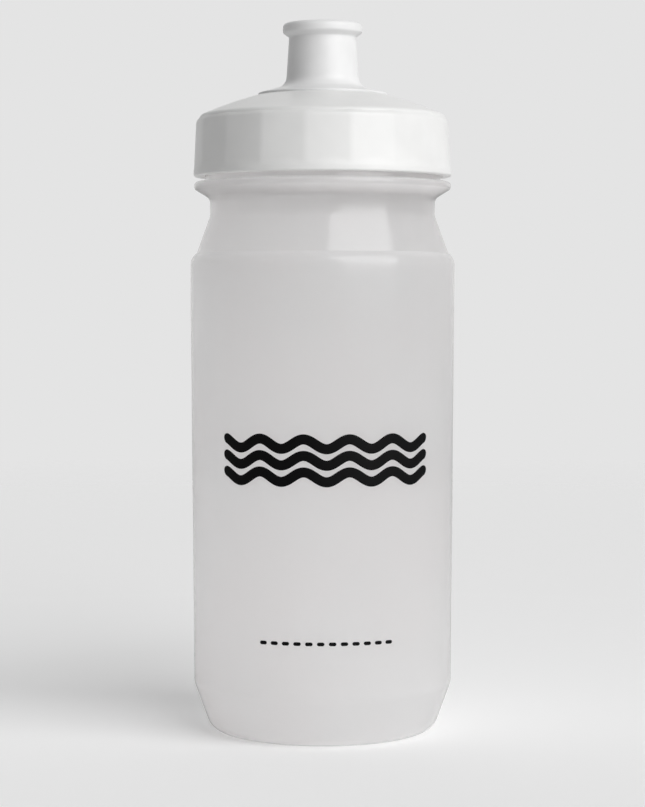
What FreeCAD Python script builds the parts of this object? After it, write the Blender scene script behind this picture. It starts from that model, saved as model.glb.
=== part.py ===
import FreeCAD, Part
import Sketcher
import math
import os

# A sports bottle with a screw cap and a push-pull spout. Millimetres, +Z up.
# The origin is the middle of the ring the bottle stands on.

doc = FreeCAD.newDocument("sports_bottle")
sheet = doc.addObject("Spreadsheet::Sheet", "Sizes")
sizes = {}


def addSize(name, value):
    row = len(sizes) + 1
    sheet.set("A%d" % row, name)
    sheet.set("B%d" % row, "%.4f" % value)
    sheet.setAlias("B%d" % row, name)
    sizes[name] = value


def addSizes(table):
    for name, value in table:
        addSize(name, value)
    sheet.recompute()


def newBody(label, seat):
    body = doc.addObject("PartDesign::Body", label)
    body.Label = label
    body.Placement = FreeCAD.Placement(FreeCAD.Vector(0, 0, sizes[seat]), FreeCAD.Rotation())
    body.setExpression("Placement.Base.z", "Sizes." + seat)
    return body


def originPlane(body, role):
    return [item for item in body.Origin.OriginFeatures if item.Role == role][0]


def newSketch(body, label, role):
    sketch = body.newObject("Sketcher::SketchObject", label)
    sketch.AttachmentSupport = [(originPlane(body, role), "")]
    sketch.MapMode = "FlatFace"
    return sketch


def bindConstraint(sketch, constraint, name, sizeName):
    index = sketch.addConstraint(constraint)
    sketch.renameConstraint(index, name)
    sketch.setExpression("Constraints." + name, "Sizes." + sizeName)


def placePoint(sketch, geometry, end, name, across, up):
    # A point is held from the sketch's origin, or on an axis where the distance is nothing.
    if across == 0:
        sketch.addConstraint(Sketcher.Constraint("PointOnObject", geometry, end, -2))
    else:
        rule = Sketcher.Constraint("DistanceX", -1, 1, geometry, end, across)
        bindConstraint(sketch, rule, name + "_radius", name + "_radius")
    if up == 0:
        sketch.addConstraint(Sketcher.Constraint("PointOnObject", geometry, end, -1))
    else:
        rule = Sketcher.Constraint("DistanceY", -1, 1, geometry, end, up)
        bindConstraint(sketch, rule, name + "_height", name + "_height")


def roundingOf(before, here, after, rounding):
    # The points where an arc of this radius leaves both sides of a corner, and its centre.
    toBefore = before.sub(here).normalize()
    toAfter = after.sub(here).normalize()
    halfAngle = toBefore.getAngle(toAfter) / 2
    reach = rounding / math.tan(halfAngle)
    middle = toBefore.add(toAfter).normalize()
    centre = here.add(middle.multiply(rounding / math.sin(halfAngle)))
    enter = here.add(toBefore.multiply(reach))
    leave = here.add(toAfter.multiply(reach))
    return enter, leave, centre


def drawProfile(body, label, corners, role="XZ_Plane"):
    # Each corner is its name, its distance from the axis, its height and its rounding.
    sketch = newSketch(body, label, role)
    for name, across, up, rounding in corners:
        if across != 0:
            addSize(name + "_radius", across)
        if up != 0:
            addSize(name + "_height", up)
        if rounding != 0:
            addSize(name + "_rounding", rounding)
    sheet.recompute()
    count = len(corners)
    spots = [FreeCAD.Vector(across, up, 0) for name, across, up, rounding in corners]
    enters = []
    leaves = []
    arcs = []
    for i in range(count):
        rounding = corners[i][3]
        if rounding == 0:
            enters.append(spots[i])
            leaves.append(spots[i])
            arcs.append(None)
            continue
        before = spots[i - 1]
        after = spots[(i + 1) % count]
        enter, leave, centre = roundingOf(before, spots[i], after, rounding)
        turn = (spots[i].sub(before)).cross(after.sub(spots[i])).z
        first, last = (enter, leave) if turn > 0 else (leave, enter)
        startAngle = math.atan2(first.y - centre.y, first.x - centre.x)
        endAngle = math.atan2(last.y - centre.y, last.x - centre.x)
        circle = Part.Circle(centre, FreeCAD.Vector(0, 0, 1), rounding)
        arc = sketch.addGeometry(Part.ArcOfCircle(circle, startAngle, endAngle), False)
        enters.append(enter)
        leaves.append(leave)
        arcs.append((arc, 1, 2) if turn > 0 else (arc, 2, 1))
    lines = []
    for i in range(count):
        edge = Part.LineSegment(leaves[i], enters[(i + 1) % count])
        lines.append(sketch.addGeometry(edge, False))
    for i in range(count):
        name, across, up, rounding = corners[i]
        arriving = lines[i - 1]
        leaving = lines[i]
        if arcs[i] is None:
            sketch.addConstraint(Sketcher.Constraint("Coincident", arriving, 2, leaving, 1))
            placePoint(sketch, leaving, 1, name, across, up)
            continue
        arc, inEnd, outEnd = arcs[i]
        sketch.addConstraint(Sketcher.Constraint("Tangent", arriving, 2, arc, inEnd))
        sketch.addConstraint(Sketcher.Constraint("Tangent", arc, outEnd, leaving, 1))
        rule = Sketcher.Constraint("Radius", arc, rounding)
        bindConstraint(sketch, rule, name + "_rounding", name + "_rounding")
        point = sketch.addGeometry(Part.Point(spots[i]), True)
        sketch.addConstraint(Sketcher.Constraint("PointOnObject", point, 1, arriving))
        sketch.addConstraint(Sketcher.Constraint("PointOnObject", point, 1, leaving))
        placePoint(sketch, point, 1, name, across, up)
    doc.recompute()
    return sketch


def revolve(body, label, corners):
    sketch = drawProfile(body, label + "_profile", corners)
    feature = body.newObject("PartDesign::Revolution", label)
    feature.Profile = sketch
    feature.ReferenceAxis = (sketch, ["V_Axis"])
    feature.Angle = 360
    doc.recompute()
    return feature


def hollow(body, label, corners):
    before = body.Shape.Volume
    sketch = drawProfile(body, label + "_profile", corners)
    feature = body.newObject("PartDesign::Groove", label)
    feature.Profile = sketch
    feature.ReferenceAxis = (sketch, ["V_Axis"])
    feature.Angle = 360
    doc.recompute()
    if not body.Shape.Volume < before - 1:
        raise RuntimeError(label + " removed nothing")
    return feature


def thread(body, label, corners, turns):
    sketch = drawProfile(body, label + "_profile", corners)
    feature = body.newObject("PartDesign::AdditiveHelix", label)
    feature.Profile = sketch
    feature.ReferenceAxis = (sketch, ["V_Axis"])
    feature.Mode = 1
    feature.Pitch = sizes["thread_lead"]
    feature.setExpression("Pitch", "Sizes.thread_lead")
    feature.Turns = sizes[turns]
    feature.setExpression("Turns", "Sizes." + turns)
    doc.recompute()
    return feature


def cutThrough(body, label, corners):
    before = body.Shape.Volume
    sketch = drawProfile(body, label + "_outline", corners, "XY_Plane")
    feature = body.newObject("PartDesign::Pocket", label)
    feature.Profile = sketch
    feature.Type = 1
    feature.Midplane = True
    doc.recompute()
    if not body.Shape.Volume < before - 0.01:
        raise RuntimeError(label + " removed nothing")
    return feature


def makeBottle():
    # Blown shell: foot ring round a raised base, long wall, waist, bead, threaded neck.
    body = newBody("bottle", "bottle_seat")
    revolve(body, "shell_outside", [
        ("punt_centre", 0, 8.2, 0),
        ("punt_crown", 8.0, 8.2, 30.0),
        ("punt_shoulder", 21.0, 4.4, 5.0),
        ("foot_inside", 25.0, 0, 2.2),
        ("foot_outside", 31.2, 0, 5.0),
        ("base_edge", 36.1, 13.62, 4.0),
        ("band_bottom", 36.9, 122.0, 0),
        ("shoulder", 36.9, 132.29, 3.9),
        ("crease", 35.15, 133.57, 0.4),
        ("waist_bottom", 31.41, 143.87, 5.0),
        ("waist_top", 31.41, 148.66, 2.2),
        ("bead_bottom", 35.82, 151.38, 1.0),
        ("bead_top", 35.82, 153.3, 0.9),
        ("collar_root", 32.9, 153.3, 0.4),
        ("collar_top", 32.9, 155.1, 0.3),
        ("neck_root", 30.4, 155.7, 0.4),
        ("rim_outside", 30.4, 168.0, 0.5),
        ("rim_axis", 0, 168.0, 0)])
    hollow(body, "shell_inside", [
        ("floor_centre", 0, 9.4, 0),
        ("floor_crown", 8.17, 9.4, 31.2),
        ("floor_shoulder", 21.66, 5.46, 6.2),
        ("floor_foot_inside", 25.53, 1.2, 1.0),
        ("floor_foot_outside", 30.36, 1.2, 3.8),
        ("floor_edge", 34.9, 13.82, 2.8),
        ("wall_band_bottom", 35.7, 122.0, 0),
        ("wall_shoulder", 35.7, 131.68, 2.7),
        ("wall_crease", 34.15, 132.82, 1.6),
        ("wall_waist_bottom", 30.01, 144.2, 6.0),
        ("wall_waist_top", 30.01, 149.3, 1.0),
        ("wall_bead_bottom", 33.2, 151.28, 0.3),
        ("wall_bead_top", 33.2, 152.0, 0.3),
        ("bore_root", 28.6, 152.0, 1.0),
        ("rim_inside", 28.6, 168.0, 0),
        ("bore_axis", 0, 168.0, 0)])
    thread(body, "neck_thread", [
        ("neck_ridge_low", 30.2, 157.75, 0),
        ("neck_crest_low", 32.0, 158.4, 0),
        ("neck_crest_high", 32.0, 159.6, 0),
        ("neck_ridge_high", 30.2, 160.25, 0)], "neck_thread_turns")
    return body


def drawGripOutline(body, label, cornerCount):
    # Equal bowed sides between corners on one circle, the first corner on its own bearing.
    sketch = newSketch(body, label, "XY_Plane")
    sketch.AttachmentOffset = FreeCAD.Placement(
        FreeCAD.Vector(0, 0, sizes["facet_start"]), FreeCAD.Rotation())
    sketch.setExpression("AttachmentOffset.Base.z", "Sizes.facet_start")
    radius = sizes["facet_corner_radius"]
    bearing = math.radians(sizes["facet_bearing"])
    corners = []
    for i in range(cornerCount):
        angle = bearing + 2 * math.pi * i / cornerCount
        corners.append(FreeCAD.Vector(radius * math.cos(angle), radius * math.sin(angle), 0))
    circle = sketch.addGeometry(
        Part.Circle(FreeCAD.Vector(0, 0, 0), FreeCAD.Vector(0, 0, 1), radius), True)
    sketch.addConstraint(Sketcher.Constraint("Coincident", circle, 3, -1, 1))
    rule = Sketcher.Constraint("Radius", circle, radius)
    bindConstraint(sketch, rule, "corner_circle", "facet_corner_radius")
    spoke = sketch.addGeometry(Part.LineSegment(FreeCAD.Vector(0, 0, 0), corners[0]), True)
    sketch.addConstraint(Sketcher.Constraint("Coincident", spoke, 1, -1, 1))
    rule = Sketcher.Constraint("Angle", -1, 1, spoke, 1, bearing)
    bindConstraint(sketch, rule, "first_corner", "facet_bearing * 1 deg")
    sides = []
    chords = []
    spread = math.pi / cornerCount
    bow = math.asin(radius * math.sin(spread) / sizes["facet_bow_radius"])
    inset = radius * math.cos(spread) - sizes["facet_bow_radius"] * math.cos(bow)
    for i in range(cornerCount):
        facing = bearing + spread * (2 * i + 1)
        centre = FreeCAD.Vector(inset * math.cos(facing), inset * math.sin(facing), 0)
        arch = Part.Circle(centre, FreeCAD.Vector(0, 0, 1), sizes["facet_bow_radius"])
        side = Part.ArcOfCircle(arch, facing - bow, facing + bow)
        sides.append(sketch.addGeometry(side, False))
    for i in range(cornerCount):
        # A straight chord across each side keeps the corners evenly spaced.
        chord = Part.LineSegment(corners[i], corners[(i + 1) % cornerCount])
        chords.append(sketch.addGeometry(chord, True))
        sketch.addConstraint(Sketcher.Constraint("Coincident", chords[i], 1, sides[i], 1))
        sketch.addConstraint(Sketcher.Constraint("Coincident", chords[i], 2, sides[i], 2))
    for i in range(cornerCount):
        sketch.addConstraint(Sketcher.Constraint("Coincident", sides[i - 1], 2, sides[i], 1))
        sketch.addConstraint(Sketcher.Constraint("PointOnObject", sides[i], 1, circle))
    for i in range(1, cornerCount):
        sketch.addConstraint(Sketcher.Constraint("Equal", chords[0], chords[i]))
        sketch.addConstraint(Sketcher.Constraint("Equal", sides[0], sides[i]))
    rule = Sketcher.Constraint("Radius", sides[0], sizes["facet_bow_radius"])
    bindConstraint(sketch, rule, "side_bow", "facet_bow_radius")
    sketch.addConstraint(Sketcher.Constraint("Coincident", spoke, 2, sides[0], 1))
    doc.recompute()
    return sketch


def makeCap():
    # Drafted grip of eighteen slightly bowed sides, joined to a round dome and band.
    body = newBody("screw_cap", "cap_seat")
    outline = drawGripOutline(body, "grip_outline", 18)
    grip = body.newObject("PartDesign::Pad", "grip")
    grip.Profile = outline
    grip.Length = sizes["facet_length"]
    grip.setExpression("Length", "Sizes.facet_length")
    grip.TaperAngle = -sizes["facet_draft"]
    grip.setExpression("TaperAngle", "-Sizes.facet_draft * 1 deg")
    doc.recompute()
    top = grip.Shape.BoundBox.ZMax
    topEdges = []
    for i, edge in enumerate(grip.Shape.Edges):
        if min(vertex.Z for vertex in edge.Vertexes) > top - 0.001:
            topEdges.append("Edge%d" % (i + 1))
    softened = body.newObject("PartDesign::Fillet", "grip_top_rounding")
    softened.Base = (grip, topEdges)
    softened.Radius = sizes["facet_top_rounding"]
    softened.setExpression("Radius", "Sizes.facet_top_rounding")
    doc.recompute()
    revolve(body, "dome_and_tower", [
        ("cap_axis_bottom", 0, 0, 0),
        ("skirt_bottom", 35.95, 0, 0.6),
        ("band_top", 35.95, 1.6, 1.5),
        ("band_blend", 35.05, 5.0, 0),
        ("dome_wall_bottom", 34.35, 5.0, 0),
        ("dome_edge", 34.35, 16.88, 1.5),
        ("dome_bend", 26.0, 20.2, 60.0),
        ("dome_step_top", 18.25, 22.6, 0.2),
        ("dome_step_bottom", 18.25, 22.1, 0),
        ("tower_root", 7.0, 22.1, 0.5),
        ("tower_bead_root", 7.0, 30.8, 0),
        ("tower_bead_low", 7.5, 31.4, 0.2),
        ("tower_bead_high", 7.5, 32.0, 0.2),
        ("tower_top", 6.6, 33.0, 0.2),
        ("tower_axis", 0, 33.0, 0)])
    hollow(body, "cap_inside", [
        ("cap_axis_low", 0, 0, 0),
        ("skirt_mouth", 33.7, 0, 0),
        ("skirt_bore", 33.2, 0.8, 0),
        ("seal_seat_outside", 33.2, 14.7, 0.3),
        ("seal_seat_inside", 27.6, 14.7, 0.5),
        ("dome_under_edge", 27.6, 17.71, 1.5),
        ("dome_under_top", 20.7, 20.41, 2.0),
        ("tower_bore_bottom", 5.6, 20.4, 0),
        ("tower_bore_top", 5.6, 33.0, 0),
        ("cap_axis_high", 0, 33.0, 0)])
    thread(body, "cap_thread", [
        ("cap_ridge_low", 33.4, 1.0, 0),
        ("cap_crest_low", 31.0, 1.8, 0),
        ("cap_crest_high", 31.0, 3.0, 0),
        ("cap_ridge_high", 33.4, 3.8, 0)], "cap_thread_turns")
    return body


def makeGasket():
    # Flat sealing ring between the rim and the cap.
    body = newBody("cap_gasket", "gasket_seat")
    revolve(body, "ring", [
        ("gasket_inside_low", 27.9, 0, 0.3),
        ("gasket_outside_low", 33.1, 0, 0.3),
        ("gasket_outside_high", 33.1, 1.5, 0.3),
        ("gasket_inside_high", 27.9, 1.5, 0.3)])
    return body


def makeSpout():
    # Pull-up drinking spout: flared foot, tapered tube, rolled lip.
    body = newBody("pull_spout", "spout_seat")
    revolve(body, "spout_outside", [
        ("spout_axis_low", 0, 0, 0),
        ("foot_low", 18.0, 0, 0.2),
        ("foot_high", 18.0, 1.1, 0.4),
        ("tube_root", 10.2, 3.15, 3.5),
        ("tube_top", 9.31, 16.75, 0.6),
        ("lip_low", 11.05, 17.85, 0.9),
        ("lip_high", 11.05, 20.5, 1.3),
        ("mouth_edge", 7.9, 20.5, 0),
        ("spout_axis_high", 0, 20.5, 0)])
    hollow(body, "tower_sleeve", [
        ("sleeve_axis_low", 0, 0, 0),
        ("sleeve_mouth", 7.7, 0, 0),
        ("catch_low", 7.05, 0.8, 0),
        ("catch_high", 7.05, 2.6, 0),
        ("sleeve_bottom", 7.6, 3.2, 0),
        ("sleeve_top", 7.6, 11.9, 0.4),
        ("outlet_low", 3.6, 11.9, 0.4),
        ("outlet_high", 3.6, 13.5, 0),
        ("pocket_floor", 7.4, 13.5, 0),
        ("pocket_top", 7.4, 16.7, 0),
        ("throat", 7.0, 17.1, 0.3),
        ("mouth", 7.9, 20.5, 0),
        ("sleeve_axis_high", 0, 20.5, 0)])
    return body


def makeStem():
    # Post whose head stops the outlet when the spout is down; water passes three windows.
    body = newBody("valve_stem", "stem_seat")
    revolve(body, "post", [
        ("stem_axis_low", 0, 0, 0),
        ("flange_low", 7.6, 0, 0.3),
        ("flange_high", 7.6, 1.2, 0),
        ("plug_root", 5.6, 1.2, 0),
        ("plug_top", 5.6, 5.0, 0.3),
        ("post_root", 1.9, 5.0, 0.4),
        ("post_top", 1.9, 13.6, 0.5),
        ("head_low", 3.3, 14.6, 0),
        ("ring_groove_low", 3.3, 15.05, 0),
        ("ring_groove_low_inside", 2.55, 15.05, 0),
        ("ring_groove_high_inside", 2.55, 16.15, 0),
        ("ring_groove_high", 3.3, 16.15, 0),
        ("head_high", 3.3, 16.5, 0),
        ("head_crown", 1.4, 17.3, 0.4),
        ("stem_axis_high", 0, 17.3, 0)])
    window = cutThrough(body, "water_window", [
        ("window_inner_right", 2.4, -1.0, 0.3),
        ("window_outer_right", 4.2, -2.3, 0.5),
        ("window_outer_left", 4.2, 2.3, 0.5),
        ("window_inner_left", 2.4, 1.0, 0.3)])
    pattern = body.newObject("PartDesign::PolarPattern", "water_windows")
    pattern.Originals = [window]
    pattern.Axis = (window.Profile[0], ["N_Axis"])
    pattern.Angle = 360
    pattern.Occurrences = 3
    body.Tip = pattern
    doc.recompute()
    return body


def makeStemRing():
    # Round-section seal in the groove of the stem's head.
    ring = doc.addObject("Part::Torus", "stem_oring")
    ring.Label = "stem_oring"
    ring.setExpression("Radius1", "Sizes.stem_ring_radius")
    ring.setExpression("Radius2", "Sizes.stem_ring_section")
    ring.setExpression("Placement.Base.z", "Sizes.stem_ring_seat")
    doc.recompute()
    return ring


def makeMembrane():
    # Soft disc with a clamped edge and a crossed slit in its raised middle.
    body = newBody("slit_membrane", "membrane_seat")
    revolve(body, "disc", [
        ("membrane_axis_low", 0, 1.8, 0),
        ("membrane_under_crown", 2.0, 1.8, 2.0),
        ("membrane_under_edge", 5.0, 0, 0.4),
        ("membrane_edge_low", 7.35, 0, 0.2),
        ("membrane_edge_high", 7.35, 1.0, 0.2),
        ("membrane_over_edge", 5.15, 1.0, 0.4),
        ("membrane_over_crown", 2.2, 2.6, 2.0),
        ("membrane_axis_high", 0, 2.6, 0)])
    cutThrough(body, "slit", [
        ("slit_a", 0.06, 0.06, 0),
        ("slit_b", 0.06, 2.6, 0),
        ("slit_c", -0.06, 2.6, 0),
        ("slit_d", -0.06, 0.06, 0),
        ("slit_e", -2.6, 0.06, 0),
        ("slit_f", -2.6, -0.06, 0),
        ("slit_g", -0.06, -0.06, 0),
        ("slit_h", -0.06, -2.6, 0),
        ("slit_i", 0.06, -2.6, 0),
        ("slit_j", 0.06, -0.06, 0),
        ("slit_k", 2.6, -0.06, 0),
        ("slit_l", 2.6, 0.06, 0)])
    return body


def makeRetainer():
    # Snap ring that holds the membrane down in the spout.
    body = newBody("membrane_retainer", "retainer_seat")
    revolve(body, "snap_ring", [
        ("retainer_inside_low", 5.3, 0, 0.2),
        ("retainer_outside_low", 7.4, 0, 0),
        ("retainer_outside_high", 7.4, 2.2, 0),
        ("retainer_bevel", 6.6, 2.2, 0.2),
        ("retainer_inside_high", 5.3, 1.2, 0.2)])
    return body


addSizes([
    ("bottle_seat", 0.0),
    ("cap_seat", 154.8),
    ("gasket_seat", 168.0),
    ("spout_seat", 176.9),
    ("stem_seat", 174.0),
    ("membrane_seat", 190.4),
    ("retainer_seat", 191.4),
    ("stem_ring_seat", 189.6),
    ("stem_ring_radius", 3.05),
    ("stem_ring_section", 0.5),
    ("thread_lead", 4.2),
    ("neck_thread_turns", 1.5),
    ("cap_thread_turns", 1.25),
    ("facet_start", 1.0),
    ("facet_length", 15.6),
    ("facet_corner_radius", 35.9),
    ("facet_bow_radius", 72.0),
    ("facet_draft", 2.75),
    ("facet_top_rounding", 2.0),
    ("facet_bearing", 2.6)])

parts = [
    makeBottle(),
    makeCap(),
    makeGasket(),
    makeSpout(),
    makeStem(),
    makeStemRing(),
    makeMembrane(),
    makeRetainer()]

doc.recompute()
for item in doc.Objects:
    if "Invalid" in item.State or "Error" in item.State:
        raise RuntimeError("%s is %s" % (item.Label, item.State))

os.makedirs("parts", exist_ok=True)
for part in parts:
    shape = part.Shape
    if shape.isNull() or not shape.isValid() or len(shape.Solids) != 1:
        raise RuntimeError(part.Label + " is not one sound solid")
    shape.exportStep("parts/%s.step" % part.Label)
    box = shape.BoundBox
    print("%-18s volume %9.1f  z %7.2f to %7.2f  width %6.2f"
          % (part.Label, shape.Volume, box.ZMin, box.ZMax, box.XLength))
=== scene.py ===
import math

import bpy
import numpy as np
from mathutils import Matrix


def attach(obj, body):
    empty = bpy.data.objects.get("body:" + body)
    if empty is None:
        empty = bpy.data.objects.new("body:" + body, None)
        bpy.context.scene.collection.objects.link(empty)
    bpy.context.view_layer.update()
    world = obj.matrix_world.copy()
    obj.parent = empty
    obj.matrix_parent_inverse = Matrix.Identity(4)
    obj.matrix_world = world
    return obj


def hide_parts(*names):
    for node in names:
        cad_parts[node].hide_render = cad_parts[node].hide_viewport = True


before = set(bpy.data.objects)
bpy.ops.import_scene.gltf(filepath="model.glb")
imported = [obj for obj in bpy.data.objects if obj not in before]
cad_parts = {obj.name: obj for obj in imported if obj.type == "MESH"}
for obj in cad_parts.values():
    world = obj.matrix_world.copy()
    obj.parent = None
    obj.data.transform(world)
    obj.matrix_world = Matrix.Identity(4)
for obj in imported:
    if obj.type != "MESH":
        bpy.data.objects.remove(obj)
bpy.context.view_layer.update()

metresPerMm = 0.001
mmPerMetre = 1000
print("frame loaded:", sorted(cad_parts))


# Shapes are worked out in millimetres and turned to metres when they go into a mesh.

# Straight runs and arcs through corners given as (across, up, rounding). At a corner of
# half angle h, an arc of radius R leaves each side R / tan(h) from the corner, and its
# points are centre + R (cos a, sin a).
def roundedPath(corners, closed, straightStep, arcStep=6.0):
    spots = np.array([corner[:2] for corner in corners], float)
    count = len(spots)
    pieces = []
    for i, (across, up, rounding) in enumerate(corners):
        isEnd = not closed and i in (0, count - 1)
        if rounding == 0 or isEnd:
            pieces.append(spots[i][None, :])
            continue
        back = spots[i - 1] - spots[i]
        ahead = spots[(i + 1) % count] - spots[i]
        back = back / np.hypot(*back)
        ahead = ahead / np.hypot(*ahead)
        halfAngle = math.acos(np.clip(back @ ahead, -1, 1)) / 2
        middle = (back + ahead) / np.hypot(*(back + ahead))
        centre = spots[i] + middle * rounding / math.sin(halfAngle)
        enter = spots[i] + back * rounding / math.tan(halfAngle) - centre
        leave = spots[i] + ahead * rounding / math.tan(halfAngle) - centre
        first = math.atan2(enter[1], enter[0])
        turn = math.remainder(math.atan2(leave[1], leave[0]) - first, 2 * math.pi)
        steps = max(3, math.ceil(abs(math.degrees(turn)) / arcStep) + 1)
        angles = first + turn * np.linspace(0, 1, steps)
        pieces.append(centre + rounding * np.stack([np.cos(angles), np.sin(angles)], 1))
    path = [pieces[0]]
    followers = pieces[1:] + ([pieces[0][:1]] if closed else [])
    for piece in followers:
        start = path[-1][-1]
        gap = piece[0] - start
        steps = max(1, math.ceil(np.hypot(*gap) / straightStep))
        path.append(start + gap * np.linspace(0, 1, steps + 1)[1:-1, None])
        path.append(piece)
    points = np.concatenate([part for part in path if len(part)])
    return points[:-1] if closed else points


# A turned surface: row i, column j is at radius across(i) and height up(i), whatever j is.
def turnedGrid(path, angles):
    radius = np.repeat(path[:, :1], len(angles), 1)
    height = np.repeat(path[:, 1:2], len(angles), 1)
    return radius, height


# x = radius cos(angle), y = radius sin(angle), z = height.
def gridPoints(radius, height, angles):
    turn = np.broadcast_to(angles, radius.shape)
    return np.stack([radius * np.cos(turn), radius * np.sin(turn), height], -1)


# Corner numbers of the quads (i, j), (i, j + 1), (i + 1, j + 1), (i + 1, j). Columns
# always close round the axis, and rows close on request.
def gridQuads(rows, columns, closedRows):
    index = np.arange(rows * columns).reshape(rows, columns)
    ahead = np.roll(index, -1, 1)
    above = np.roll(index, -1, 0)
    quads = np.stack([index, ahead, np.roll(above, -1, 1), above], -1)
    return quads.reshape(-1, 4) if closedRows else quads[:-1].reshape(-1, 4)


# A fan of triangles from a pole to each pair of neighbours in one row.
def poleFan(row, columns, tip, isStart):
    index = row * columns + np.arange(columns)
    ahead = np.roll(index, -1)
    tips = np.full(columns, tip)
    return np.stack([tips, ahead, index] if isStart else [index, ahead, tips], -1)


def meshOf(name, spots, quads, triangles=None):
    faces = quads.tolist() + ([] if triangles is None else triangles.tolist())
    mesh = bpy.data.meshes.new(name)
    mesh.from_pydata((spots * metresPerMm).tolist(), [], faces)
    mesh.update()
    return mesh


def addPiece(name, mesh, material, body, replaced=(), sharpAngle=40):
    piece = bpy.data.objects.new(name, mesh)
    bpy.context.scene.collection.objects.link(piece)
    mesh.shade_smooth()
    mesh.set_sharp_from_angle(angle=math.radians(sharpAngle))
    mesh.materials.append(material)
    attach(piece, body)
    if replaced:
        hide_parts(*replaced)
    print("made", name, len(mesh.polygons), "faces")
    return piece


# How much of a screw ridge stands at each point, 0 to 1. On turn k the ridge's middle is at
# start + lead * (angle / 2 pi + k). Its section is a trapezium, and it grows from nothing
# and dies away over the fade.
def threadRidge(angles, height, values):
    ridge = np.zeros(height.shape)
    slope = (values["threadBase"] - values["threadCrest"]) / 2
    for k in range(math.ceil(values["threadTurns"]) + 1):
        along = np.broadcast_to(angles / (2 * math.pi) + k, height.shape)
        away = np.abs(height - values["threadStart"] - values["threadLead"] * along)
        section = np.clip((values["threadBase"] / 2 - away) / slope, 0, 1)
        fromEnd = np.minimum(along, values["threadTurns"] - along)
        ends = np.clip(fromEnd / values["threadFade"], 0, 1)
        ridge = np.maximum(ridge, section * ends * ends * (3 - 2 * ends))
    return ridge


noiseLow, noiseHigh = 0.3, 0.7  # most of a noise pattern's values lie between these


# sRGB hex to linear: ((c + 0.055) / 1.055) to the power 2.4, or c / 12.92 when very dark.
def linear(hexColour):
    parts = [int(hexColour[i:i + 2], 16) / 255 for i in (1, 3, 5)]
    bent = [c / 12.92 if c <= 0.04045 else ((c + 0.055) / 1.055) ** 2.4 for c in parts]
    return (*bent, 1.0)


# Adds a node: settings are its properties, inputs are numbers, colours or other sockets.
def addNode(tree, kind, settings=None, inputs=None):
    node = tree.nodes.new(kind)
    for name, value in (settings or {}).items():
        setattr(node, name, value)
    for name, value in (inputs or {}).items():
        if isinstance(value, bpy.types.NodeSocket):
            tree.links.new(value, node.inputs[name])
        else:
            node.inputs[name].default_value = value
    return node


def newMaterial(name):
    material = bpy.data.materials.new(name)
    material.use_nodes = True
    tree = material.node_tree
    tree.nodes.clear()
    return material, tree, addNode(tree, "ShaderNodeTexCoord").outputs["Object"]


bottleFinish = {
    "darker": "#FFFEFE", "lighter": "#FFFFFF", "roughness": (0.11, 0.16), "ior": 1.51,
    "cloudMm": 38.0, "waveMm": 20.0, "waveHeightMm": 0.10,
    "rippleMm": 2.4, "rippleHeightMm": 0.010, "grainMm": 0.8, "grainHeightMm": 0.002,
    "throughWall": 0.87, "throughNeck": 0.98, "thickFrom": 0.140, "thickTo": 0.154,
}


# Natural low-density polyethylene, blow moulded: milky and lit through its wall, with a
# smooth waxy skin that mirrors a lamp softly, ragged at the edges where the skin ripples.
# Only the outer side of a skin mirrors: from within, the milk scatters what glass would trap.
# The share of light let through falls where the wall thickens into the neck.
def blownPolyethylene(values):
    material, tree, place = newMaterial("blownPolyethylene")
    clouds = addNode(tree, "ShaderNodeTexNoise", None, {
        "Vector": place, "Scale": mmPerMetre / values["cloudMm"]})
    amount = addNode(tree, "ShaderNodeMapRange", None, {
        "Value": clouds.outputs["Fac"], "From Min": noiseLow, "From Max": noiseHigh})
    colour = addNode(tree, "ShaderNodeMix", {"data_type": "RGBA"}, {
        0: amount.outputs["Result"], 6: linear(values["darker"]),
        7: linear(values["lighter"])})
    sheen = addNode(tree, "ShaderNodeMapRange", None, {
        "Value": clouds.outputs["Fac"], "From Min": noiseLow, "From Max": noiseHigh,
        "To Min": values["roughness"][0], "To Max": values["roughness"][1]})
    skin = None
    for size, depth in (("waveMm", "waveHeightMm"), ("rippleMm", "rippleHeightMm"),
                        ("grainMm", "grainHeightMm")):
        lumps = addNode(tree, "ShaderNodeTexNoise", None, {
            "Vector": place, "Scale": mmPerMetre / values[size], "Detail": 1.0})
        under = {} if skin is None else {"Normal": skin.outputs["Normal"]}
        skin = addNode(tree, "ShaderNodeBump", None, {
            "Height": lumps.outputs["Fac"], "Distance": values[depth] * metresPerMm, **under})
    normal = skin.outputs["Normal"]
    shine = addNode(tree, "ShaderNodeBsdfPrincipled", None, {
        "Base Color": colour.outputs[2], "Roughness": sheen.outputs["Result"],
        "IOR": values["ior"], "Normal": normal})
    glow = addNode(tree, "ShaderNodeBsdfTranslucent", None, {
        "Color": colour.outputs[2], "Normal": normal})
    mirror = addNode(tree, "ShaderNodeBsdfGlossy", None, {
        "Roughness": sheen.outputs["Result"], "Normal": normal})
    share = addNode(tree, "ShaderNodeFresnel", None, {"IOR": values["ior"], "Normal": normal})
    side = addNode(tree, "ShaderNodeNewGeometry")
    outerShare = addNode(tree, "ShaderNodeMix", {"data_type": "FLOAT"}, {
        0: side.outputs["Backfacing"], 2: share.outputs[0], 3: 0.0})
    waxy = addNode(tree, "ShaderNodeMixShader", None, {
        0: outerShare.outputs[0], 1: glow.outputs[0], 2: mirror.outputs[0]})
    up = addNode(tree, "ShaderNodeSeparateXYZ", None, {"Vector": place})
    through = addNode(tree, "ShaderNodeMapRange", None, {
        "Value": up.outputs["Z"], "From Min": values["thickFrom"],
        "From Max": values["thickTo"], "To Min": values["throughWall"],
        "To Max": values["throughNeck"]})
    wall = addNode(tree, "ShaderNodeMixShader", None, {
        0: through.outputs["Result"], 1: shine.outputs[0], 2: waxy.outputs[0]})
    addNode(tree, "ShaderNodeOutputMaterial", None, {"Surface": wall.outputs[0]})
    return material


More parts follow.
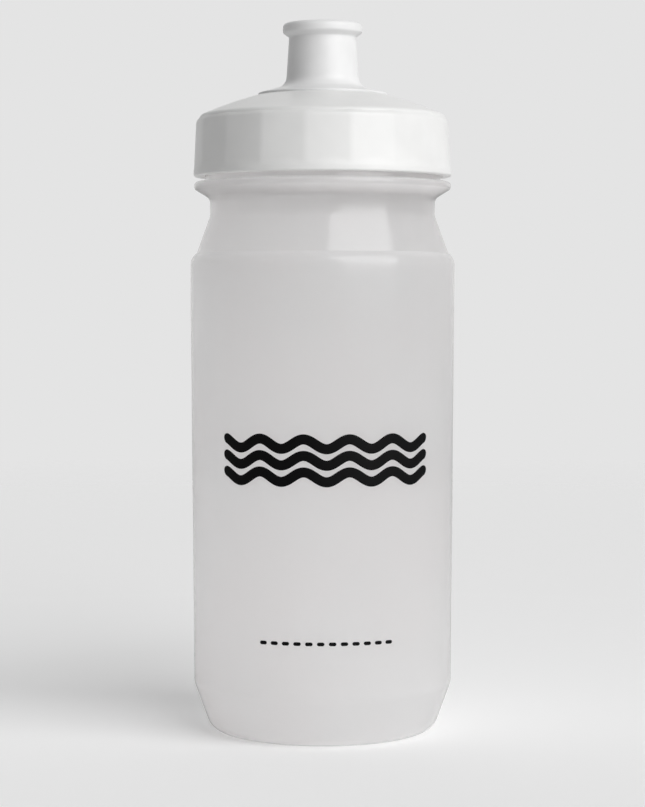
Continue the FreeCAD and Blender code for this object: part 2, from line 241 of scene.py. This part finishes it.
capFinish = {
    "darker": "#EFEFEE", "lighter": "#F5F5F4", "roughness": (0.33, 0.41), "ior": 1.49,
    "cloudMm": 14.0, "grainMm": 0.7, "grainHeightMm": 0.004,
}
spoutFinish = {
    "darker": "#EFEFEF", "lighter": "#F6F6F6", "roughness": (0.36, 0.44), "ior": 1.49,
    "cloudMm": 9.0, "grainMm": 0.6, "grainHeightMm": 0.005,
}


# White injection-moulded polyolefin: nearly flat colour, a satin skin from a spark-worn
# tool, and faint flow clouds in the sheen.
def mouldedPlastic(name, values):
    material, tree, place = newMaterial(name)
    clouds = addNode(tree, "ShaderNodeTexNoise", None, {
        "Vector": place, "Scale": mmPerMetre / values["cloudMm"]})
    amount = addNode(tree, "ShaderNodeMapRange", None, {
        "Value": clouds.outputs["Fac"], "From Min": noiseLow, "From Max": noiseHigh})
    colour = addNode(tree, "ShaderNodeMix", {"data_type": "RGBA"}, {
        0: amount.outputs["Result"], 6: linear(values["darker"]),
        7: linear(values["lighter"])})
    sheen = addNode(tree, "ShaderNodeMapRange", None, {
        "Value": clouds.outputs["Fac"], "From Min": noiseLow, "From Max": noiseHigh,
        "To Min": values["roughness"][0], "To Max": values["roughness"][1]})
    grain = addNode(tree, "ShaderNodeTexNoise", None, {
        "Vector": place, "Scale": mmPerMetre / values["grainMm"]})
    skin = addNode(tree, "ShaderNodeBump", None, {
        "Height": grain.outputs["Fac"], "Distance": values["grainHeightMm"] * metresPerMm})
    shine = addNode(tree, "ShaderNodeBsdfPrincipled", None, {
        "Base Color": colour.outputs[2], "Roughness": sheen.outputs["Result"],
        "IOR": values["ior"], "Normal": skin.outputs["Normal"]})
    addNode(tree, "ShaderNodeOutputMaterial", None, {"Surface": shine.outputs[0]})
    return material


sealFinish = {
    "darker": "#DDE2E6", "lighter": "#E9EDEF", "roughness": (0.42, 0.55), "ior": 1.41,
    "grainMm": 0.8, "grainHeightMm": 0.01, "through": 0.35,
}


# Moulded silicone rubber: milky, a little light through thin edges, soft dull sheen.
def milkySilicone(values):
    material, tree, place = newMaterial("milkySilicone")
    grain = addNode(tree, "ShaderNodeTexNoise", None, {
        "Vector": place, "Scale": mmPerMetre / values["grainMm"]})
    amount = addNode(tree, "ShaderNodeMapRange", None, {
        "Value": grain.outputs["Fac"], "From Min": noiseLow, "From Max": noiseHigh})
    colour = addNode(tree, "ShaderNodeMix", {"data_type": "RGBA"}, {
        0: amount.outputs["Result"], 6: linear(values["darker"]),
        7: linear(values["lighter"])})
    sheen = addNode(tree, "ShaderNodeMapRange", None, {
        "Value": grain.outputs["Fac"], "From Min": noiseLow, "From Max": noiseHigh,
        "To Min": values["roughness"][0], "To Max": values["roughness"][1]})
    skin = addNode(tree, "ShaderNodeBump", None, {
        "Height": grain.outputs["Fac"], "Distance": values["grainHeightMm"] * metresPerMm})
    shine = addNode(tree, "ShaderNodeBsdfPrincipled", None, {
        "Base Color": colour.outputs[2], "Roughness": sheen.outputs["Result"],
        "IOR": values["ior"], "Normal": skin.outputs["Normal"]})
    glow = addNode(tree, "ShaderNodeBsdfTranslucent", None, {
        "Color": colour.outputs[2], "Normal": skin.outputs["Normal"]})
    rubber = addNode(tree, "ShaderNodeMixShader", None, {
        0: values["through"], 1: shine.outputs[0], 2: glow.outputs[0]})
    addNode(tree, "ShaderNodeOutputMaterial", None, {"Surface": rubber.outputs[0]})
    return material


darkSealFinish = {
    "darker": "#0E0E0F", "lighter": "#1B1B1C", "roughness": (0.45, 0.62), "ior": 1.52,
    "grainMm": 0.25, "grainHeightMm": 0.006,
}
inkFinish = {
    "darker": "#020203", "lighter": "#060607", "roughness": (0.50, 0.64), "ior": 1.22,
    "grainMm": 0.8, "grainHeightMm": 0.004,
}


# A black surface with fine grain in its sheen: nitrile rubber, or screen ink, which its
# mesh leaves slightly uneven.
def darkCoat(name, values):
    material, tree, place = newMaterial(name)
    grain = addNode(tree, "ShaderNodeTexNoise", None, {
        "Vector": place, "Scale": mmPerMetre / values["grainMm"]})
    amount = addNode(tree, "ShaderNodeMapRange", None, {
        "Value": grain.outputs["Fac"], "From Min": noiseLow, "From Max": noiseHigh})
    colour = addNode(tree, "ShaderNodeMix", {"data_type": "RGBA"}, {
        0: amount.outputs["Result"], 6: linear(values["darker"]),
        7: linear(values["lighter"])})
    sheen = addNode(tree, "ShaderNodeMapRange", None, {
        "Value": grain.outputs["Fac"], "From Min": noiseLow, "From Max": noiseHigh,
        "To Min": values["roughness"][0], "To Max": values["roughness"][1]})
    skin = addNode(tree, "ShaderNodeBump", None, {
        "Height": grain.outputs["Fac"], "Distance": values["grainHeightMm"] * metresPerMm})
    shine = addNode(tree, "ShaderNodeBsdfPrincipled", None, {
        "Base Color": colour.outputs[2], "Roughness": sheen.outputs["Result"],
        "IOR": values["ior"], "Normal": skin.outputs["Normal"]})
    addNode(tree, "ShaderNodeOutputMaterial", None, {"Surface": shine.outputs[0]})
    return material


wallMaterial = blownPolyethylene(bottleFinish)
capMaterial = mouldedPlastic("mouldedPolypropylene", capFinish)
spoutMaterial = mouldedPlastic("mouldedSoftPolyethylene", spoutFinish)
sealMaterial = milkySilicone(sealFinish)
darkSealMaterial = darkCoat("nitrileRubber", darkSealFinish)
inkMaterial = darkCoat("screenInk", inkFinish)
print("materials ready")


bottleValues = {
    "columns": 216, "straightStep": 3.0, "threadStep": 0.22,
    "threadStart": 159.0, "threadLead": 4.2, "threadTurns": 1.5,
    "threadHeight": 1.6, "threadBase": 2.5, "threadCrest": 1.2, "threadFade": 0.12,
    "unevenMm": 0.07, "unevenLobes": 3, "unevenTwist": 0.07, "unevenBeat": 0.11,
    "unevenFrom": 16, "unevenFromFade": 10, "unevenTo": 148, "unevenToFade": 8,
    "lower": [
        (0.4, 8.2, 0), (8.0, 8.2, 30.0), (21.0, 4.4, 5.0), (25.0, 0, 2.2),
        (31.2, 0, 5.0), (36.1, 13.62, 4.0), (36.9, 122.0, 0), (36.9, 132.29, 3.9),
        (35.15, 133.57, 0.4), (31.41, 143.87, 5.0), (31.41, 148.66, 2.2),
        (35.82, 151.38, 1.0), (35.82, 153.3, 0.9), (32.9, 153.3, 0.4),
        (32.9, 155.1, 0.3), (30.4, 155.7, 0.4), (30.4, 156.6, 0)],
    "neck": [(30.4, 156.6, 0), (30.4, 167.0, 0)],
    "inside": [
        (30.4, 167.0, 0), (30.4, 168.0, 0.5), (28.6, 168.0, 0.3), (28.6, 152.0, 1.0),
        (33.2, 152.0, 0.3), (33.2, 151.28, 0.3), (30.01, 149.3, 1.0), (30.01, 144.2, 6.0),
        (34.15, 132.82, 1.6), (35.7, 131.68, 2.7), (35.7, 122.0, 0), (34.9, 13.82, 2.8),
        (30.36, 1.2, 3.8), (25.53, 1.2, 1.0), (21.66, 5.46, 6.2), (8.17, 9.4, 31.2),
        (0.4, 9.4, 0)],
}


# Turned from foot to rim and back down inside, plus the neck's screw ridge, less a slow
# unevenness: radius = path - uneven (1 + sin(lobes angle + twist z) cos(beat z)) / 2, which
# fades out towards the foot and the bead.
def makeBottle(values):
    lower = roundedPath(values["lower"], False, values["straightStep"])
    neck = roundedPath(values["neck"], False, values["threadStep"])
    inside = roundedPath(values["inside"], False, values["straightStep"])
    path = np.concatenate([lower, neck[1:], inside[1:]])
    angles = np.arange(values["columns"]) * 2 * math.pi / values["columns"]
    radius, height = turnedGrid(path, angles)
    rowNumber = np.arange(len(path))
    isNeck = (rowNumber >= len(lower)) & (rowNumber < len(lower) + len(neck) - 1)
    ridge = threadRidge(angles, height, values)
    radius = radius + values["threadHeight"] * ridge * isNeck[:, None]
    fromFoot = np.clip((height - values["unevenFrom"]) / values["unevenFromFade"], 0, 1)
    fromBead = np.clip((values["unevenTo"] - height) / values["unevenToFade"], 0, 1)
    blend = fromFoot * fromBead
    turning = np.sin(values["unevenLobes"] * angles + values["unevenTwist"] * height)
    swing = turning * np.cos(values["unevenBeat"] * height)
    radius = radius - values["unevenMm"] * blend * (1 + swing) / 2
    rows, columns = radius.shape
    spots = gridPoints(radius, height, angles).reshape(-1, 3)
    poles = [[0, 0, path[0, 1]], [0, 0, path[-1, 1]]]
    fans = np.concatenate([poleFan(0, columns, len(spots), True),
                           poleFan(rows - 1, columns, len(spots) + 1, False)])
    return meshOf("bottle_shell", np.vstack([spots, poles]),
                  gridQuads(rows, columns, False), fans)


addPiece("bottle_shell", makeBottle(bottleValues), wallMaterial,
         "bottle_body", ["bottle"], sharpAngle=35)


# A printed mark of wavy stripes over a row of short dashes, with no lettering.
markValues = {
    "fromDegrees": -46.5, "toDegrees": 50.0, "middleHeight": 77.9,
    "stripes": (-4.4, 0.0, 4.4), "strokeWidth": 2.7, "waves": 5.0, "waveHeight": 1.3,
    "dashHeight": 28.9, "dashFrom": -27.5, "dashTo": 31.0, "dashes": 12,
    "dashLength": 2.0, "dashWidth": 1.0, "inkOut": 0.03, "inkIn": 0.10,
    "stripeSteps": 240, "dashSteps": 4, "sectionSides": 16, "sectionPower": 0.45,
}
wallValues = {"lowRadius": 36.1, "lowHeight": 13.62, "highRadius": 36.9, "highHeight": 122.0}


# The tapered wall, a straight line between its two ends.
def wallRadius(height):
    rise = wallValues["highHeight"] - wallValues["lowHeight"]
    growth = wallValues["highRadius"] - wallValues["lowRadius"]
    return wallValues["lowRadius"] + growth * (height - wallValues["lowHeight"]) / rise


# Places along a stroke and its half width there, half sqrt(1 - t t) over each round end.
def roundEnds(length, width, steps):
    half = width / 2
    turn = np.linspace(0, math.pi / 2, 9)[:-1]
    lead = half * (1 - np.cos(turn + 0.08))  # starts just inside the tip, which is a fan
    places = np.concatenate([lead, np.linspace(half, length - half, steps),
                             length - lead[::-1]])
    inset = np.clip(1 - np.minimum(places, length - places) / half, 0, 1)
    return places, half * np.sqrt(np.clip(1 - inset * inset, 1e-4, 1))


# A flat stroke on the wall. Its middle line is (along, height) on the unrolled wall, and
# its section is a squared ring: cos and sin each raised to a power, keeping their signs.
def inkStroke(along, height, halfWidth, values):
    direction = np.stack([np.gradient(along), np.gradient(height)], 1)
    direction /= np.hypot(direction[:, 0], direction[:, 1])[:, None]
    around = np.arange(values["sectionSides"]) * 2 * math.pi / values["sectionSides"]
    flat = np.sign(np.cos(around)) * np.abs(np.cos(around)) ** values["sectionPower"]
    thick = np.sign(np.sin(around)) * np.abs(np.sin(around)) ** values["sectionPower"]
    depth = np.where(thick > 0, thick * values["inkOut"], thick * values["inkIn"])
    across = halfWidth[:, None] * flat
    spotHeight = height[:, None] + across * direction[:, 0:1]
    radius = wallRadius(spotHeight) + depth
    bearing = (along[:, None] - across * direction[:, 1:2]) / wallRadius(spotHeight)
    return gridPoints(radius, spotHeight, bearing - math.pi / 2)


# Height of a stripe along its length t: middle + shift + waveHeight cos(2 pi waves t).
def makeMark(values):
    middleRadius = wallRadius(values["middleHeight"])
    start = math.radians(values["fromDegrees"]) * middleRadius
    length = math.radians(values["toDegrees"]) * middleRadius - start
    strokes = []
    for shift in values["stripes"]:
        places, halfWidth = roundEnds(length, values["strokeWidth"], values["stripeSteps"])
        wave = np.cos(2 * math.pi * values["waves"] * places / length)
        height = values["middleHeight"] + shift + values["waveHeight"] * wave
        strokes.append(inkStroke(start + places, height, halfWidth, values))
    dashRadius = wallRadius(values["dashHeight"])
    first = math.radians(values["dashFrom"]) * dashRadius
    last = math.radians(values["dashTo"]) * dashRadius - values["dashLength"]
    for place in np.linspace(first, last, values["dashes"]):
        places, halfWidth = roundEnds(values["dashLength"], values["dashWidth"],
                                      values["dashSteps"])
        height = np.full(len(places), values["dashHeight"])
        strokes.append(inkStroke(place + places, height, halfWidth, values))
    spots = []
    quads = []
    fans = []
    start = 0
    for grid in strokes:
        rows, columns = grid.shape[:2]
        flat = grid.reshape(-1, 3)
        tips = np.stack([grid[0].mean(0), grid[-1].mean(0)])
        spots.append(np.vstack([flat, tips]))
        quads.append(start + gridQuads(rows, columns, False))
        fans.append(start + poleFan(0, columns, len(flat), True))
        fans.append(start + poleFan(rows - 1, columns, len(flat) + 1, False))
        start += len(flat) + 2
    return meshOf("printed_mark", np.concatenate(spots), np.concatenate(quads),
                  np.concatenate(fans))


addPiece("printed_mark", makeMark(markValues), inkMaterial, "bottle_body", sharpAngle=60)


capValues = {
    "facets": 18, "columnsPerFacet": 12, "firstCorner": 2.6, "straightStep": 0.5,
    "cornerRadius": 35.9, "cornerHeight": 155.8, "draft": 0.0493, "bowRadius": 72.0,
    "gripBottom": 156.0, "gripTop": 171.4, "gripTopMargin": 0.25, "gripRounding": 2.0,
    "edgeSoftness": 0.05, "threadStep": 0.22, "mouthStep": 0.3,
    "threadStart": 157.2, "threadLead": 4.2, "threadTurns": 1.25,
    "threadHeight": 2.2, "threadBase": 2.7, "threadCrest": 1.2, "threadFade": 0.12,
    "outside": [
        (35.95, 155.4, 0), (35.95, 156.4, 1.5), (35.05, 159.8, 0), (34.35, 161.5, 0),
        (34.35, 171.68, 1.5), (26.0, 175.0, 60.0), (18.25, 177.4, 0.2), (18.25, 176.9, 0),
        (7.0, 176.9, 0.5),
        (7.0, 185.6, 0), (7.5, 186.2, 0.2), (7.5, 186.8, 0.2), (6.6, 187.8, 0.2),
        (5.6, 187.8, 0.2), (5.6, 175.2, 0.2), (20.7, 175.21, 2.0), (27.6, 172.51, 1.5),
        (27.6, 169.5, 0.5), (33.2, 169.5, 0.3), (33.2, 165.5, 0)],
    "threaded": [(33.2, 165.5, 0), (33.2, 155.6, 0)],
    "mouth": [(33.2, 155.6, 0), (33.7, 154.8, 0.2), (35.95, 154.8, 0.6), (35.95, 155.4, 0)],
}


# Bowed sides. Each side is an arc of radius B through two corners, centred at
# inset = corner cos(half) - sqrt(B B - (corner sin(half)) squared) from the axis, so at an
# angle a from the side's middle radius = inset cos(a) + sqrt(B B - (inset sin(a)) squared).
# The corner leans in with height and rounds over at the top on a circle.
def gripRadius(height, angles, values):
    half = math.pi / values["facets"]
    rounding = values["gripRounding"]
    bend = values["gripTop"] - rounding
    lean = values["cornerRadius"] - values["draft"] * (height - values["cornerHeight"])
    leanAtBend = values["cornerRadius"] - values["draft"] * (bend - values["cornerHeight"])
    rise = np.clip(height - bend, 0, rounding)
    arc = leanAtBend - rounding + np.sqrt(rounding ** 2 - rise ** 2)
    corner = np.where(height > bend, arc, lean)
    fromMiddle = np.mod(angles - math.radians(values["firstCorner"]), 2 * half) - half
    bow = values["bowRadius"]
    inset = corner * math.cos(half) - np.sqrt(bow ** 2 - (corner * math.sin(half)) ** 2)
    return inset * np.cos(fromMiddle) + np.sqrt(bow ** 2 - (inset * np.sin(fromMiddle)) ** 2)


# The turned dome and band join the grip by a soft maximum,
# (a + b + sqrt((a - b) squared + s s)) / 2, and the screw ridge stands inside.
def makeCap(values):
    outside = roundedPath(values["outside"], False, values["straightStep"])
    threaded = roundedPath(values["threaded"], False, values["threadStep"])
    mouth = roundedPath(values["mouth"], False, values["mouthStep"])
    path = np.concatenate([outside, threaded[1:], mouth[1:-1]])
    columns = values["facets"] * values["columnsPerFacet"]
    angles = math.radians(values["firstCorner"]) + np.arange(columns) * 2 * math.pi / columns
    radius, height = turnedGrid(path, angles)
    rowNumber = np.arange(len(path))
    topRow = np.argmax(path[:, 1] > values["gripTop"] + values["gripTopMargin"])
    grip = gripRadius(height, angles, values)
    soft = values["edgeSoftness"]
    joined = (radius + grip + np.sqrt((radius - grip) ** 2 + soft ** 2)) / 2
    isGrip = (rowNumber < topRow) & (path[:, 1] > values["gripBottom"])
    radius = np.where(isGrip[:, None], joined, radius)
    ridge = threadRidge(np.mod(angles, 2 * math.pi), height, values)
    isThread = (rowNumber >= len(outside)) & (rowNumber < len(outside) + len(threaded) - 1)
    radius = radius - values["threadHeight"] * ridge * isThread[:, None]
    spots = gridPoints(radius, height, angles).reshape(-1, 3)
    return meshOf("cap_shell", spots, gridQuads(*radius.shape, True))


addPiece("cap_shell", makeCap(capValues), capMaterial,
         "cap_body", ["screw_cap"], sharpAngle=13)


spoutValues = {
    "columns": 192, "straightStep": 0.6,
    "section": [
        (7.7, 176.9, 0), (18.0, 176.9, 0.2), (18.0, 178.0, 0.4), (10.2, 180.05, 3.5),
        (9.31, 193.65, 0.6), (11.05, 194.75, 0.9), (11.05, 197.4, 1.3), (7.9, 197.4, 0.4),
        (7.0, 194.0, 0.3), (7.4, 193.6, 0),
        (7.4, 190.4, 0.1), (3.6, 190.4, 0.2), (3.6, 188.8, 0.4), (7.6, 188.8, 0.4),
        (7.6, 180.1, 0.2), (7.05, 179.5, 0.1), (7.05, 177.7, 0.1)],
}


# One closed section turned about the axis: radius = across, height = up.
def makeSpout(values):
    path = roundedPath(values["section"], True, values["straightStep"])
    angles = np.arange(values["columns"]) * 2 * math.pi / values["columns"]
    radius, height = turnedGrid(path, angles)
    spots = gridPoints(radius, height, angles).reshape(-1, 3)
    return meshOf("spout_shell", spots, gridQuads(*radius.shape, True))


addPiece("spout_shell", makeSpout(spoutValues), spoutMaterial,
         "spout_body", ["pull_spout"], sharpAngle=35)


# Inner pieces keep their own shape and get their finish.
innerFinishes = {
    "cap_gasket": sealMaterial, "valve_stem": capMaterial, "stem_oring": darkSealMaterial,
    "slit_membrane": sealMaterial, "membrane_retainer": capMaterial,
}
for nodeName, material in innerFinishes.items():
    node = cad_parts[nodeName]
    node.data.materials.clear()
    node.data.materials.append(material)
print("inner pieces finished")


studioValues = {
    "floorRadius": 3.0, "floorSides": 96, "fadeFrom": 0.3, "fadeTo": 1.1,
    "floorColour": "#FBFBFB", "paperGlow": 0.105, "haze": 0.12, "backdrop": 0.776,
    "frontAmbient": 0.10, "backAmbient": 0.82, "lowAmbient": 0.2,
    "rampFrom": -0.1, "rampTo": 0.9, "lowFrom": -0.15,
    "keyDistance": 12.0, "keySize": 12.0, "keyBearing": 42.0, "keyHeight": 30.0,
    "keyPower": 1490.0,
}


# A round sheet of pale paper, with a faint glow of its own, that fades into the backdrop
# with distance from the object.
def makeFloor(values):
    sides = values["floorSides"]
    angles = np.arange(sides) * 2 * math.pi / sides
    radius, height = turnedGrid(np.array([[mmPerMetre * values["floorRadius"], 0.0]]), angles)
    rim = gridPoints(radius, height, angles).reshape(-1, 3)
    mesh = meshOf("floor", np.vstack([rim, [[0, 0, 0]]]), poleFan(0, sides, sides, False))
    material, tree, place = newMaterial("backdropPaper")
    away = addNode(tree, "ShaderNodeVectorMath", {"operation": "LENGTH"}, {0: place})
    fade = addNode(tree, "ShaderNodeMapRange", None, {
        "Value": away.outputs["Value"], "From Min": values["fadeFrom"],
        "From Max": values["fadeTo"], "To Min": values["haze"]})
    paper = addNode(tree, "ShaderNodeBsdfDiffuse", None, {
        "Color": linear(values["floorColour"])})
    glow = addNode(tree, "ShaderNodeEmission", None, {"Strength": values["paperGlow"]})
    lit = addNode(tree, "ShaderNodeAddShader", None, {0: paper.outputs[0], 1: glow.outputs[0]})
    clear = addNode(tree, "ShaderNodeBsdfTransparent")
    sheet = addNode(tree, "ShaderNodeMixShader", None, {
        0: fade.outputs["Result"], 1: lit.outputs[0], 2: clear.outputs[0]})
    addNode(tree, "ShaderNodeOutputMaterial", None, {"Surface": sheet.outputs[0]})
    mesh.materials.append(material)
    floor = bpy.data.objects.new("floor", mesh)
    bpy.context.scene.collection.objects.link(floor)


# A plain backdrop to the eye. As light it is bright behind the object, dim in front and
# dimmer than behind from below.
def makeWorld(values):
    world = bpy.data.worlds.new("studio")
    bpy.context.scene.world = world
    world.use_nodes = True
    tree = world.node_tree
    tree.nodes.clear()
    direction = addNode(tree, "ShaderNodeTexCoord").outputs["Generated"]
    split = addNode(tree, "ShaderNodeSeparateXYZ", None, {"Vector": direction})
    sides = addNode(tree, "ShaderNodeMapRange", None, {
        "Value": split.outputs["Y"], "From Min": values["rampFrom"],
        "From Max": values["rampTo"],
        "To Min": values["frontAmbient"], "To Max": values["backAmbient"]})
    low = addNode(tree, "ShaderNodeMapRange", None, {
        "Value": split.outputs["Z"], "From Min": values["lowFrom"], "From Max": 0.0,
        "To Min": 1.0, "To Max": 0.0})
    level = addNode(tree, "ShaderNodeMix", {"data_type": "FLOAT"}, {
        0: low.outputs["Result"], 2: sides.outputs["Result"], 3: values["lowAmbient"]})
    seen = addNode(tree, "ShaderNodeLightPath")
    strength = addNode(tree, "ShaderNodeMix", {"data_type": "FLOAT"}, {
        0: seen.outputs["Is Camera Ray"], 2: level.outputs[0], 3: values["backdrop"]})
    glow = addNode(tree, "ShaderNodeBackground", None, {
        "Strength": strength.outputs[0], "Color": (1, 1, 1, 1)})
    addNode(tree, "ShaderNodeOutputWorld", None, {"Surface": glow.outputs[0]})


def makeKeyLight(values):
    light = bpy.data.lights.new("key", "AREA")
    light.shape = "SQUARE"
    light.size = values["keySize"]
    light.energy = values["keyPower"]
    lamp = bpy.data.objects.new("key", light)
    bpy.context.scene.collection.objects.link(lamp)
    bearing = math.radians(values["keyBearing"])
    height = math.radians(values["keyHeight"])
    lamp.location = values["keyDistance"] * np.array([
        math.sin(bearing) * math.cos(height), -math.cos(bearing) * math.cos(height),
        math.sin(height)])
    lamp.rotation_euler = (math.pi / 2 - height, 0, bearing)
    lamp.visible_camera = False


viewValues = {
    "lens": 103.42, "sensor": 36.0, "place": (0.0, -0.650, 0.12107),
    "downDegrees": 2.606, "clipEnd": 100.0,
}


def makeCamera(values):
    lens = bpy.data.cameras.new("view")
    lens.lens = values["lens"]
    lens.sensor_width = values["sensor"]
    lens.clip_end = values["clipEnd"]
    camera = bpy.data.objects.new("view", lens)
    bpy.context.scene.collection.objects.link(camera)
    camera.location = values["place"]
    camera.rotation_euler = (math.radians(90 - values["downDegrees"]), 0, 0)
    bpy.context.scene.camera = camera


makeFloor(studioValues)
makeWorld(studioValues)
makeKeyLight(studioValues)
makeCamera(viewValues)
bpy.context.scene.view_settings.view_transform = "Standard"
print("studio ready")
